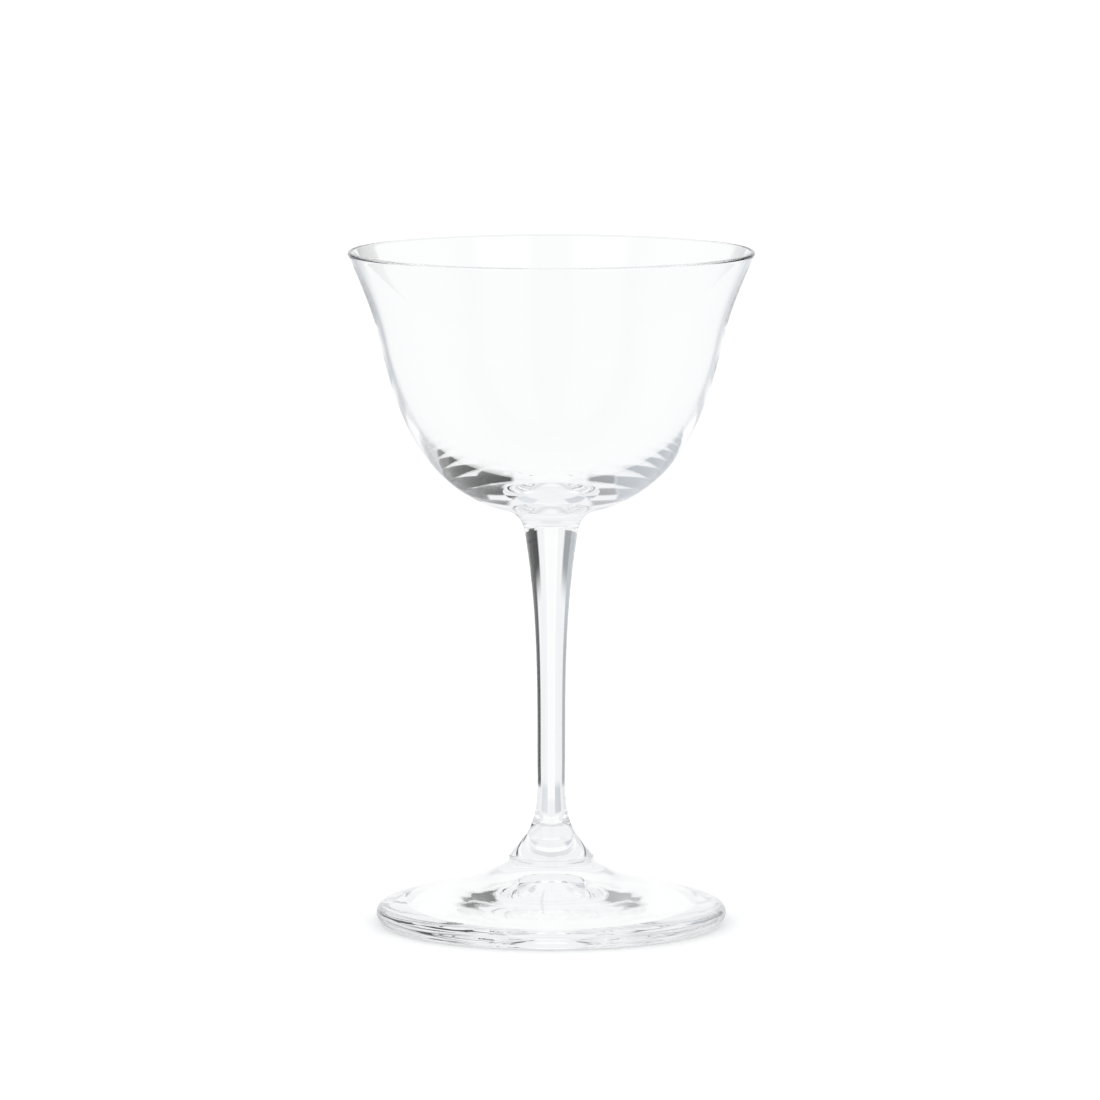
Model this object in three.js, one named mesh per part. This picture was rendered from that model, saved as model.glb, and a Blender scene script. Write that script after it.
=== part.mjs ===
// Stemmed cocktail glass with a flared bell bowl, in clear glass.
// Four pieces, fused end to end while hot: foot, collar, stem and bowl.
// Millimetres, +Z up. The origin is on the table, under the middle of the foot.
import * as THREE from 'three';

// Foot
const FOOT_RADIUS = 40.8;
const FOOT_RISE = 14.3;
const FOOT_EDGE_ROUND = 2.35;
const FOOT_EDGE_SLOPE = 20;
const FOOT_SHOULDER_SLOPE = 32;
const CONTACT_RING_WIDTH = 6.0;
const HOLLOW_HEIGHT = 7.0;
const HOLLOW_SLOPE = 16;
const DOME_RADIUS = 8;
const DOME_HEIGHT = 1.3;
const DOME_SLOPE = 18;

// Collar between the foot and the stem
const COLLAR_RADIUS = 9.9;
const COLLAR_HEIGHT = 6.4;
const COLLAR_EDGE_HEIGHT = 1.0;
const COLLAR_EDGE_ROUND = 1.2;

// Stem
const STEM_LENGTH = 75.6;
const STEM_BASE_RADIUS = 5.8;
const STEM_BASE_FLARE = 31;
const NECK_RADIUS = 3.25;
const NECK_RISE = 18.3;
const THROAT_RADIUS = 6.15;
const THROAT_DROP = 5;
const THROAT_LEAN = 9.5;
const STEM_HEAD_RADIUS = 9.15;
const STEM_HEAD_FLARE = 55;

// Bowl
const BOWL_HEIGHT = 60.7;
const BOWL_BASE_SLOPE = 13;
const FLOOR_THICKNESS = 4.8;
const WAIST_RADIUS = 39.45;
const WAIST_RISE = 38.8;
const WAIST_LEAN = 12.3;
const WAIST_WALL = 1.3;
const RIM_RADIUS = 47.1;
const RIM_FLARE = 24;
const RIM_WALL = 1.1;

// How far a curve holds its starting and ending directions, as a share of its span
const EVEN = 0.34;
const FULL = 0.4;
const FULLER = 0.46;

// Facets
const SIDES = 64;
const LONG_CURVE_STEPS = 12;
const SHORT_CURVE_STEPS = 6;
const ROUND_STEPS = 6;

const LEVEL = 0;
const UPRIGHT = Math.PI / 2;
const radians = THREE.MathUtils.degToRad;

// A point of a profile, and one set off from it at an angle above the level
const at = (radius, height) => new THREE.Vector2(radius, height);
const offset = (point, length, angle) =>
  at(point.x + length * Math.cos(angle), point.y + length * Math.sin(angle));

// A smooth stretch of profile that leaves and arrives at set angles
function bend(from, fromAngle, to, toAngle, fullness, steps) {
  const hold = fullness * from.distanceTo(to);
  const leaving = offset(from, hold, fromAngle);
  const arriving = offset(to, -hold, toAngle);
  return new THREE.CubicBezierCurve(from, leaving, arriving, to).getPoints(steps);
}

// A round stretch of profile
function round(centre, radius, fromAngle, toAngle) {
  const clockwise = toAngle < fromAngle;
  const arc = new THREE.EllipseCurve(centre.x, centre.y, radius, radius, fromAngle, toAngle, clockwise);
  return arc.getPoints(ROUND_STEPS);
}

// A solid of glass turned about the axis from the stretches of its profile
const SAME_POINT = 1e-6;
function turned(name, color, stretches) {
  const points = stretches.flat();
  const profile = points.filter((point, i) => i === 0 || point.distanceTo(points[i - 1]) > SAME_POINT);
  const geometry = new THREE.LatheGeometry(profile, SIDES);
  geometry.rotateX(UPRIGHT);
  const glass = new THREE.MeshStandardMaterial({ color, roughness: 0.04, metalness: 0 });
  const mesh = new THREE.Mesh(geometry, glass);
  mesh.name = name;
  return mesh;
}

// Foot: a hollow underside with a small dome in its middle, a flat ring to stand on, a rounded edge
// and a skirt up to the collar
function makeFoot() {
  const edgeSlope = radians(FOOT_EDGE_SLOPE);
  const domeSlope = radians(DOME_SLOPE);
  const ringOuter = FOOT_RADIUS - FOOT_EDGE_ROUND;
  const edgeCentre = at(ringOuter, FOOT_EDGE_ROUND);
  const domeTop = at(0, HOLLOW_HEIGHT);
  const domeEdge = at(DOME_RADIUS, HOLLOW_HEIGHT - DOME_HEIGHT);
  const ringInner = at(ringOuter - CONTACT_RING_WIDTH, 0);
  const edgeTop = offset(edgeCentre, FOOT_EDGE_ROUND, UPRIGHT - edgeSlope);
  const shoulder = at(COLLAR_RADIUS, FOOT_RISE);
  return turned('foot', 0xe9eff0, [
    bend(domeTop, LEVEL, domeEdge, -domeSlope, EVEN, SHORT_CURVE_STEPS),
    bend(domeEdge, -domeSlope, ringInner, -radians(HOLLOW_SLOPE), EVEN, LONG_CURVE_STEPS),
    round(edgeCentre, FOOT_EDGE_ROUND, -UPRIGHT, UPRIGHT - edgeSlope),
    bend(edgeTop, Math.PI - edgeSlope, shoulder, Math.PI - radians(FOOT_SHOULDER_SLOPE), EVEN,
      LONG_CURVE_STEPS),
    [at(0, FOOT_RISE)],
  ]);
}

// Collar: a low cone with a rounded upright edge
function makeCollar() {
  const cornerCentre = at(COLLAR_RADIUS - COLLAR_EDGE_ROUND, COLLAR_EDGE_HEIGHT);
  const top = at(STEM_BASE_RADIUS, COLLAR_HEIGHT);
  const toTop = top.clone().sub(cornerCentre);
  const coneAngle = toTop.angle() - Math.acos(COLLAR_EDGE_ROUND / toTop.length());
  return turned('collar', 0xeef3f4, [
    [at(0, 0), at(COLLAR_RADIUS, 0)],
    round(cornerCentre, COLLAR_EDGE_ROUND, LEVEL, coneAngle),
    [top, at(0, COLLAR_HEIGHT)],
  ]);
}

// Stem: flares at its base, is thinnest a little above it, and widens slowly to a flared head
function makeStem() {
  const base = at(STEM_BASE_RADIUS, 0);
  const neck = at(NECK_RADIUS, NECK_RISE);
  const throat = at(THROAT_RADIUS, STEM_LENGTH - THROAT_DROP);
  const head = at(STEM_HEAD_RADIUS, STEM_LENGTH);
  const throatAngle = UPRIGHT - radians(THROAT_LEAN);
  const headAngle = UPRIGHT - radians(STEM_HEAD_FLARE);
  return turned('stem', 0xeaf0f1, [
    [at(0, 0)],
    bend(base, UPRIGHT + radians(STEM_BASE_FLARE), neck, UPRIGHT, EVEN, SHORT_CURVE_STEPS),
    bend(neck, UPRIGHT, throat, throatAngle, EVEN, SHORT_CURVE_STEPS),
    bend(throat, throatAngle, head, headAngle, FULL, SHORT_CURVE_STEPS),
    [at(0, STEM_LENGTH)],
  ]);
}

// Bowl: a thin bell wall that leans least at the waist, flares to the rim and thickens to a solid floor
function makeBowl() {
  const waistAngle = UPRIGHT - radians(WAIST_LEAN);
  const rimAngle = UPRIGHT - radians(RIM_FLARE);
  const base = at(STEM_HEAD_RADIUS, 0);
  const waist = at(WAIST_RADIUS, WAIST_RISE);
  const innerWaist = offset(waist, WAIST_WALL, waistAngle + UPRIGHT);
  const floor = at(0, FLOOR_THICKNESS);
  const lipRadius = RIM_WALL / 2;
  const lipCentre = at(RIM_RADIUS - lipRadius, BOWL_HEIGHT - lipRadius);
  const outerLip = offset(lipCentre, lipRadius, rimAngle - UPRIGHT);
  const innerLip = offset(lipCentre, lipRadius, rimAngle + UPRIGHT);
  return turned('bowl', 0xf1f5f6, [
    [at(0, 0)],
    bend(base, radians(BOWL_BASE_SLOPE), waist, waistAngle, FULL, LONG_CURVE_STEPS),
    bend(waist, waistAngle, outerLip, rimAngle, EVEN, SHORT_CURVE_STEPS),
    round(lipCentre, lipRadius, rimAngle - UPRIGHT, rimAngle + UPRIGHT),
    bend(innerLip, rimAngle + Math.PI, innerWaist, waistAngle + Math.PI, EVEN, SHORT_CURVE_STEPS),
    bend(innerWaist, waistAngle + Math.PI, floor, Math.PI, FULLER, LONG_CURVE_STEPS),
  ]);
}

// Assembly: each piece stands on the weld of the one below
const foot = makeFoot();
const collar = makeCollar();
const stem = makeStem();
const bowl = makeBowl();
collar.position.z = FOOT_RISE;
stem.position.z = collar.position.z + COLLAR_HEIGHT;
bowl.position.z = stem.position.z + STEM_LENGTH;

const glass = new THREE.Group();
glass.add(foot, collar, stem, bowl);
export default glass;
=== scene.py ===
"""Looks of a stemmed cocktail glass: four fused pieces of clear glass in a soft white studio."""

import math
from collections import namedtuple

import bpy
import numpy as np
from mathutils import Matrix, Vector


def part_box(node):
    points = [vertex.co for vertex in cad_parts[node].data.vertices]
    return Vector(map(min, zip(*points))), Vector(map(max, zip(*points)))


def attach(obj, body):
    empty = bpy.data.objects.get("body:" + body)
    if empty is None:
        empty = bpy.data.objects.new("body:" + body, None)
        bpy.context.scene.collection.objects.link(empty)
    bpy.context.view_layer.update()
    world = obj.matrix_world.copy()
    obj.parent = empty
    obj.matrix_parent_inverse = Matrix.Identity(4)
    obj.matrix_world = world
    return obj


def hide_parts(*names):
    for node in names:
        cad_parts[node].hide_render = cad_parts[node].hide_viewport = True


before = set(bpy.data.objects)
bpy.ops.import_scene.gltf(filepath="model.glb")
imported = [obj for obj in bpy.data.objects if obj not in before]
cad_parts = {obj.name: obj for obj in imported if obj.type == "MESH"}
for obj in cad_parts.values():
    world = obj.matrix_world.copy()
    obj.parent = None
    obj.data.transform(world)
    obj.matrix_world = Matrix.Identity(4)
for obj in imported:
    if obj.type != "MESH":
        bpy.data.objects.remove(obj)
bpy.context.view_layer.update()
scene = bpy.context.scene

MM = 0.001

# Angles of a profile above the level, in degrees
LEVEL = 0
UPRIGHT = 90
HALF_TURN = 180

# Sizes that the frame gives, in metres
_, foot_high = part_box("foot")
_, collar_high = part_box("collar")
_, stem_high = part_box("stem")
_, bowl_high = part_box("bowl")
FOOT_RADIUS = foot_high.x
COLLAR_RADIUS = collar_high.x
STEM_HEAD_RADIUS = stem_high.x
RIM_RADIUS = bowl_high.x
FOOT_WELD = foot_high.z
COLLAR_WELD = collar_high.z
BOWL_WELD = stem_high.z
RIM_TOP = bowl_high.z

# Foot
FOOT_EDGE_ROUND = 2.35 * MM
FOOT_EDGE_SLOPE = 20
FOOT_SHOULDER_SLOPE = 32
CONTACT_RING_WIDTH = 6 * MM
HOLLOW_HEIGHT = 7 * MM
HOLLOW_SLOPE = 16
DOME_RADIUS = 8 * MM
DOME_HEIGHT = 1.3 * MM
DOME_SLOPE = 18

# Collar
COLLAR_EDGE_HEIGHT = 1.0 * MM
COLLAR_EDGE_ROUND = 1.2 * MM

# Stem
STEM_BASE_RADIUS = 5.8 * MM
STEM_BASE_FLARE = 31
NECK_RADIUS = 3.25 * MM
NECK_RISE = 18.3 * MM
THROAT_RADIUS = 6.15 * MM
THROAT_DROP = 5 * MM
THROAT_LEAN = 9.5
STEM_HEAD_FLARE = 55

# Bowl
BOWL_BASE_SLOPE = 13
FLOOR_THICKNESS = 4.8 * MM
WAIST_RADIUS = 39.45 * MM
WAIST_RISE = 38.8 * MM
WAIST_LEAN = 12.3
WAIST_WALL = 1.3 * MM
RIM_FLARE = 24
RIM_WALL = 1.1 * MM

# How far a curve holds its starting and ending directions, as a share of its span
EVEN = 0.34
FULL = 0.4
FULLER = 0.46

# Fineness of the turned meshes
SIDES = 256
LONG_STEPS = 72
SHORT_STEPS = 36
ROUND_STEPS = 28
CREASE = math.radians(9)
SAME_POINT = 1e-7


def at(radius, height):
    """A point of a profile."""
    return np.array([radius, height])


def offset(point, length, angle):
    """The point set off at an angle above the level, in degrees."""
    turn = math.radians(angle)
    return point + length * np.array([math.cos(turn), math.sin(turn)])


def bend(start, start_angle, end, end_angle, fullness, steps):
    """A smooth stretch of profile that leaves and arrives at set angles."""
    hold = fullness * np.linalg.norm(end - start)
    leaving = offset(start, hold, start_angle)
    arriving = offset(end, -hold, end_angle)
    t = np.linspace(0, 1, steps + 1)[:, None]
    u = 1 - t
    return u**3 * start + 3 * u * u * t * leaving + 3 * u * t * t * arriving + t**3 * end


def round_off(centre, radius, start_angle, end_angle):
    """A round stretch of profile."""
    turn = np.radians(np.linspace(start_angle, end_angle, ROUND_STEPS + 1))
    return centre + radius * np.stack([np.cos(turn), np.sin(turn)], axis=1)


def straight(start, end):
    """A straight stretch of profile."""
    return np.array([start, end])


def circle(radius, height, sides):
    """Points spaced evenly around the axis."""
    turns = np.arange(sides) * 2 * math.pi / sides
    return [(radius * math.cos(turn), radius * math.sin(turn), height) for turn in turns]


def turned(name, stretches):
    """A closed mesh turned about the axis, from the stretches of its profile in order."""
    points = np.vstack(stretches)
    step = np.linalg.norm(np.diff(points, axis=0), axis=1)
    points = points[np.append(True, step > SAME_POINT)]
    verts, rings = [], []
    for radius, height in points:
        first = len(verts)
        if radius < SAME_POINT:
            verts.append((0, 0, height))
            rings.append([first] * SIDES)
        else:
            verts += circle(radius, height, SIDES)
            rings.append(list(range(first, first + SIDES)))
    faces = []
    for low, high in zip(rings, rings[1:]):
        for i in range(SIDES):
            j = (i + 1) % SIDES
            corners = (low[i], low[j], high[j], high[i])
            faces.append(tuple(dict.fromkeys(corners)))
    mesh = bpy.data.meshes.new(name)
    mesh.from_pydata(verts, [], faces)
    mesh.shade_smooth()
    mesh.set_sharp_from_angle(angle=CREASE)
    piece = bpy.data.objects.new(name, mesh)
    scene.collection.objects.link(piece)
    return piece


def make_foot():
    """Hollow underside with a small dome, flat ring to stand on, rounded edge and skirt to the collar."""
    ring_outer = FOOT_RADIUS - FOOT_EDGE_ROUND
    edge_centre = at(ring_outer, FOOT_EDGE_ROUND)
    ring_inner = at(ring_outer - CONTACT_RING_WIDTH, 0)
    dome_top = at(0, HOLLOW_HEIGHT)
    dome_edge = at(DOME_RADIUS, HOLLOW_HEIGHT - DOME_HEIGHT)
    edge_top = offset(edge_centre, FOOT_EDGE_ROUND, UPRIGHT - FOOT_EDGE_SLOPE)
    shoulder = at(COLLAR_RADIUS, FOOT_WELD)
    return turned("foot_glass", [
        bend(dome_top, LEVEL, dome_edge, -DOME_SLOPE, EVEN, SHORT_STEPS),
        bend(dome_edge, -DOME_SLOPE, ring_inner, -HOLLOW_SLOPE, EVEN, LONG_STEPS),
        round_off(edge_centre, FOOT_EDGE_ROUND, -UPRIGHT, UPRIGHT - FOOT_EDGE_SLOPE),
        bend(edge_top, HALF_TURN - FOOT_EDGE_SLOPE, shoulder, HALF_TURN - FOOT_SHOULDER_SLOPE, EVEN,
             LONG_STEPS),
        straight(shoulder, at(0, FOOT_WELD)),
    ])


def make_collar():
    """Low cone with a rounded upright edge."""
    corner = at(COLLAR_RADIUS - COLLAR_EDGE_ROUND, FOOT_WELD + COLLAR_EDGE_HEIGHT)
    top = at(STEM_BASE_RADIUS, COLLAR_WELD)
    along, rise = top - corner
    lean = math.acos(COLLAR_EDGE_ROUND / math.hypot(along, rise))
    cone_angle = math.degrees(math.atan2(rise, along) - lean)
    return turned("collar_glass", [
        straight(at(0, FOOT_WELD), at(COLLAR_RADIUS, FOOT_WELD)),
        round_off(corner, COLLAR_EDGE_ROUND, LEVEL, cone_angle),
        straight(top, at(0, COLLAR_WELD)),
    ])


def make_stem():
    """Flared at its base, thinnest a little above it, widening slowly to a flared head."""
    base = at(STEM_BASE_RADIUS, COLLAR_WELD)
    neck = at(NECK_RADIUS, COLLAR_WELD + NECK_RISE)
    throat = at(THROAT_RADIUS, BOWL_WELD - THROAT_DROP)
    head = at(STEM_HEAD_RADIUS, BOWL_WELD)
    throat_angle = UPRIGHT - THROAT_LEAN
    return turned("stem_glass", [
        straight(at(0, COLLAR_WELD), base),
        bend(base, UPRIGHT + STEM_BASE_FLARE, neck, UPRIGHT, EVEN, SHORT_STEPS),
        bend(neck, UPRIGHT, throat, throat_angle, EVEN, LONG_STEPS),
        bend(throat, throat_angle, head, UPRIGHT - STEM_HEAD_FLARE, FULL, SHORT_STEPS),
        straight(head, at(0, BOWL_WELD)),
    ])


def make_bowl():
    """Thin bell wall that leans least at the waist, flares to the rim and thickens to a solid floor."""
    waist_angle = UPRIGHT - WAIST_LEAN
    rim_angle = UPRIGHT - RIM_FLARE
    base = at(STEM_HEAD_RADIUS, BOWL_WELD)
    waist = at(WAIST_RADIUS, BOWL_WELD + WAIST_RISE)
    inner_waist = offset(waist, WAIST_WALL, waist_angle + UPRIGHT)
    lip_radius = RIM_WALL / 2
    lip = at(RIM_RADIUS - lip_radius, RIM_TOP - lip_radius)
    outer_lip = offset(lip, lip_radius, rim_angle - UPRIGHT)
    inner_lip = offset(lip, lip_radius, rim_angle + UPRIGHT)
    floor = at(0, BOWL_WELD + FLOOR_THICKNESS)
    return turned("bowl_glass", [
        straight(at(0, BOWL_WELD), base),
        bend(base, BOWL_BASE_SLOPE, waist, waist_angle, FULL, LONG_STEPS),
        bend(waist, waist_angle, outer_lip, rim_angle, EVEN, SHORT_STEPS),
        round_off(lip, lip_radius, rim_angle - UPRIGHT, rim_angle + UPRIGHT),
        bend(inner_lip, rim_angle + HALF_TURN, inner_waist, waist_angle + HALF_TURN, EVEN, SHORT_STEPS),
        bend(inner_waist, waist_angle + HALF_TURN, floor, HALF_TURN, FULLER, LONG_STEPS),
    ])


class Nodes:
    """A node tree with short calls for the sums that the glass and the studio are painted with."""

    def __init__(self, tree):
        self.tree = tree

    def add(self, kind, **inputs):
        """A new node; each input takes a number, a vector or another node's output."""
        node = self.tree.nodes.new(kind)
        for name, value in inputs.items():
            self.feed(node.inputs[name.replace("_", " ")], value)
        return node

    def feed(self, socket, value):
        """Links another node's output to the socket, or sets a plain value on it."""
        if isinstance(value, bpy.types.NodeSocket):
            self.tree.links.new(value, socket)
        else:
            socket.default_value = value

    def math(self, operation, *values):
        """The outcome of one sum."""
        node = self.add("ShaderNodeMath")
        node.operation = operation
        for socket, value in zip(node.inputs, values):
            self.feed(socket, value)
        return node.outputs[0]

    def fade(self, value, start, end):
        """0 at start and 1 at end, smooth between them."""
        node = self.add("ShaderNodeMapRange", Value=value, From_Min=start, From_Max=end)
        node.interpolation_type = "SMOOTHSTEP"
        return node.outputs["Result"]

    def within(self, value, low, high, soft):
        """1 from low to high, fading over soft outside them."""
        return self.math("MULTIPLY", self.fade(value, low - soft, low), self.fade(value, high + soft, high))


# Glass: its tint, its fire polish, the scuffs of its contact ring and the fine relief of hand work
GLASS_IOR = 1.52
GLASS_TINT = (0.992, 0.997, 0.998, 1)
POLISH_ROUGHNESS = 0.008
POLISH_SCALE = 60
SCUFF_ROUGHNESS = 0.05
SCUFF_SCALE = 900
SCUFF_HEIGHT = 0.05 * MM
RING_SPACING = 3 * MM
RING_DEPTH = 0.003 * MM
RING_WANDER = 0.8
RING_FADE = 4 * MM
STRIA_DEPTH = 0.01 * MM
STRIA_SCALE = (70, 70, 8)
WAVE_TURNS_PER_UNIT = 20 / (2 * math.pi)


def principled(name):
    """A new material and its shader."""
    material = bpy.data.materials.new(name)
    material.use_nodes = True
    return material, material.node_tree.nodes["Principled BSDF"]


def make_clear_glass():
    """Clear glass: polished, scuffed where it stands, with tooled rings in the foot and faint striae."""
    material, shader = principled("clear_glass")
    nodes = Nodes(material.node_tree)
    place = nodes.add("ShaderNodeTexCoord").outputs["Object"]
    height = nodes.add("ShaderNodeSeparateXYZ", Vector=place).outputs["Z"]

    haze = nodes.add("ShaderNodeTexNoise", Vector=place, Scale=POLISH_SCALE).outputs["Fac"]
    scuffs = nodes.add("ShaderNodeTexNoise", Vector=place, Scale=SCUFF_SCALE).outputs["Fac"]
    on_ring = nodes.fade(height, SCUFF_HEIGHT, 0)
    scuffed = nodes.math("MULTIPLY", nodes.math("MULTIPLY", scuffs, SCUFF_ROUGHNESS), on_ring)
    roughness = nodes.math("MULTIPLY_ADD", haze, POLISH_ROUGHNESS, scuffed)

    rings = nodes.add("ShaderNodeTexWave", Vector=place, Distortion=RING_WANDER,
                      Scale=1 / (RING_SPACING * WAVE_TURNS_PER_UNIT))
    rings.wave_type = "RINGS"
    rings.rings_direction = "Z"
    on_foot = nodes.fade(height, FOOT_WELD, FOOT_WELD - RING_FADE)
    tooled = nodes.math("MULTIPLY", nodes.math("MULTIPLY", rings.outputs["Fac"], RING_DEPTH), on_foot)
    drawn = nodes.add("ShaderNodeMapping", Vector=place, Scale=STRIA_SCALE).outputs["Vector"]
    striae = nodes.add("ShaderNodeTexNoise", Vector=drawn, Scale=1).outputs["Fac"]
    relief = nodes.math("MULTIPLY_ADD", striae, STRIA_DEPTH, tooled)
    bump = nodes.add("ShaderNodeBump", Height=relief, Distance=1)

    nodes.feed(shader.inputs["Roughness"], roughness)
    nodes.feed(shader.inputs["Normal"], bump.outputs["Normal"])
    shader.inputs["Base Color"].default_value = GLASS_TINT
    shader.inputs["Transmission Weight"].default_value = 1
    shader.inputs["IOR"].default_value = GLASS_IOR
    return material


def make_weld():
    """The fused faces between pieces do not show, so light passes them unbent."""
    material, shader = principled("fused_weld")
    shader.inputs["Alpha"].default_value = 0
    shader.inputs["Roughness"].default_value = 1
    return material


WELD_TOLERANCE = 0.01 * MM
FLAT_ENOUGH = 0.9999


def dress(piece, node, glass, weld):
    """Gives a piece its glass, clears its fused faces and lets it stand for its CAD node."""
    mesh = piece.data
    mesh.materials.append(glass)
    mesh.materials.append(weld)
    low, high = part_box(node)
    welds = [z for z in (FOOT_WELD, COLLAR_WELD, BOWL_WELD) if low.z <= z <= high.z]
    for face in mesh.polygons:
        flat = abs(face.normal.z) > FLAT_ENOUGH
        if flat and any(abs(face.center.z - z) < WELD_TOLERANCE for z in welds):
            face.material_index = 1
    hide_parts(node)
    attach(piece, "root")


clear_glass = make_clear_glass()
fused_weld = make_weld()
dress(make_foot(), "foot", clear_glass, fused_weld)
dress(make_collar(), "collar", clear_glass, fused_weld)
dress(make_stem(), "stem", clear_glass, fused_weld)
dress(make_bowl(), "bowl", clear_glass, fused_weld)

# Floor, in metres
FLOOR_RADIUS = 12
FLOOR_GAP = 0.1 * MM
FLOOR_SIDES = 96
FLOOR_TONE = 0.9
FLOOR_GLOW = 0.28


def make_floor():
    """A pale floor that takes the soft shadow; the glass itself sees only the studio."""
    edge = circle(FLOOR_RADIUS, -FLOOR_GAP, FLOOR_SIDES)
    mesh = bpy.data.meshes.new("floor")
    mesh.from_pydata(edge, [], [tuple(range(FLOOR_SIDES))])
    floor = bpy.data.objects.new("floor", mesh)
    scene.collection.objects.link(floor)
    material, shader = principled("pale_floor")
    shader.inputs["Base Color"].default_value = (FLOOR_TONE, FLOOR_TONE, FLOOR_TONE, 1)
    shader.inputs["Roughness"].default_value = 1
    shader.inputs["Specular IOR Level"].default_value = 0
    shader.inputs["Emission Color"].default_value = (1, 1, 1, 1)
    shader.inputs["Emission Strength"].default_value = FLOOR_GLOW
    mesh.materials.append(material)
    floor.visible_transmission = False
    floor.visible_glossy = False


make_floor()

# The shot, in metres and degrees, with the camera looking along +Y: the glass is round, so its bearing
# is free
IMAGE_PIXELS = 1100
FOCAL_PIXELS = 8160
SENSOR_MM = 36
CAMERA_DISTANCE = 1.88
CAMERA_HEIGHT = 0.3165
CAMERA_SIDE = -0.3 * MM
CAMERA_PITCH = 6.95
CAMERA_REACH = 100


def make_camera():
    """A long lens that looks slightly down on the glass."""
    lens = bpy.data.cameras.new("camera")
    lens.sensor_width = SENSOR_MM
    lens.lens = SENSOR_MM * FOCAL_PIXELS / IMAGE_PIXELS
    lens.clip_end = CAMERA_REACH
    camera = bpy.data.objects.new("camera", lens)
    camera.location = (CAMERA_SIDE, -CAMERA_DISTANCE, CAMERA_HEIGHT)
    camera.rotation_euler = (math.radians(UPRIGHT - CAMERA_PITCH), 0, 0)
    scene.collection.objects.link(camera)
    scene.camera = camera


make_camera()

# Studio: soft cards on the world, laid one over the other. Each has a tone, a range of bearings from
# straight ahead, positive to the right, a range of elevations and a soft edge, in degrees
Card = namedtuple("Card", "tone bearings elevations soft")
WHITE = (1.0, 1.0, 1.0)
WINDOW_TONE = (1.15, 1.15, 1.15)
WALL_TONE = (0.9, 0.91, 0.92)
FRONT_TONE = (0.74, 0.75, 0.76)
GREY_TONE = (0.44, 0.47, 0.51)
SIDE_TONE = (0.56, 0.57, 0.59)
LOW_GREY_TONE = (0.3, 0.31, 0.325)
DUSK_TONE = (0.12, 0.112, 0.108)
BLACK_TONE = (0.008, 0.007, 0.006)
LEFT_EDGE_TONE = (0.62, 0.64, 0.67)
RIGHT_EDGE_TONE = (0.74, 0.76, 0.79)
FRONT_START = 95
FRONT_END = 125
CARDS = (
    Card(WINDOW_TONE, (-158, -134), (-20, 60), 12),
    Card(WINDOW_TONE, (134, 158), (-20, 60), 12),
    Card(GREY_TONE, (-124, -42), (-8.5, 12), 3),
    Card(LOW_GREY_TONE, (-38, -24), (2, 13), 4),
    Card(SIDE_TONE, (96, 116), (-10, 12), 8),
    Card(DUSK_TONE, (40, 92), (-8.5, 13), 3),
    Card(BLACK_TONE, (44, 76), (-8.5, 13), 3),
    Card(BLACK_TONE, (25, 40), (2, 13), 4),
    Card(BLACK_TONE, (31, 47), (12, 30), 3),
    Card(LEFT_EDGE_TONE, (-30, -12), (-24, -11), 3),
    Card(RIGHT_EDGE_TONE, (12, 30), (-24, -11), 3),
    Card(WHITE, (-9, 9), (-13, 30), 3),
)

# Light that has crossed more surfaces than this has passed both walls of the bowl
THIN_WALL_CROSSINGS = 3


def make_studio():
    """A pale room with cards; light that has crossed both walls of the bowl sees plain white instead."""
    world = bpy.data.worlds.new("studio")
    scene.world = world
    world.use_nodes = True
    nodes = Nodes(world.node_tree)
    direction = nodes.add("ShaderNodeTexCoord").outputs["Generated"]
    split = nodes.add("ShaderNodeSeparateXYZ", Vector=direction)
    bearing = nodes.math("DEGREES", nodes.math("ARCTAN2", split.outputs["X"], split.outputs["Y"]))
    elevation = nodes.math("DEGREES", nodes.math("ARCSINE", split.outputs["Z"]))
    light_path = nodes.add("ShaderNodeLightPath")

    def paint(below, tone, mask):
        mix = nodes.add("ShaderNodeMixRGB", Fac=mask, Color2=(*tone, 1))
        nodes.feed(mix.inputs["Color1"], below)
        return mix.outputs["Color"]

    in_front = nodes.fade(nodes.math("ABSOLUTE", bearing), FRONT_START, FRONT_END)
    colour = paint((*WALL_TONE, 1), FRONT_TONE, in_front)
    for card in CARDS:
        across = nodes.within(bearing, *card.bearings, card.soft)
        up = nodes.within(elevation, *card.elevations, card.soft)
        colour = paint(colour, card.tone, nodes.math("MULTIPLY", across, up))
    through_wall = nodes.math("GREATER_THAN", light_path.outputs["Transmission Depth"], THIN_WALL_CROSSINGS)
    plain = nodes.math("MAXIMUM", through_wall, light_path.outputs["Is Camera Ray"])
    nodes.feed(world.node_tree.nodes["Background"].inputs["Color"], paint(colour, WHITE, plain))


make_studio()

# Light through many layers of glass needs many bounces
MANY_BOUNCES = 256
GLOSSY_BOUNCES = 96
scene.view_settings.view_transform = "Standard"
scene.cycles.max_bounces = MANY_BOUNCES
scene.cycles.transmission_bounces = MANY_BOUNCES
scene.cycles.transparent_max_bounces = MANY_BOUNCES
scene.cycles.glossy_bounces = GLOSSY_BOUNCES
scene.cycles.use_denoising = True
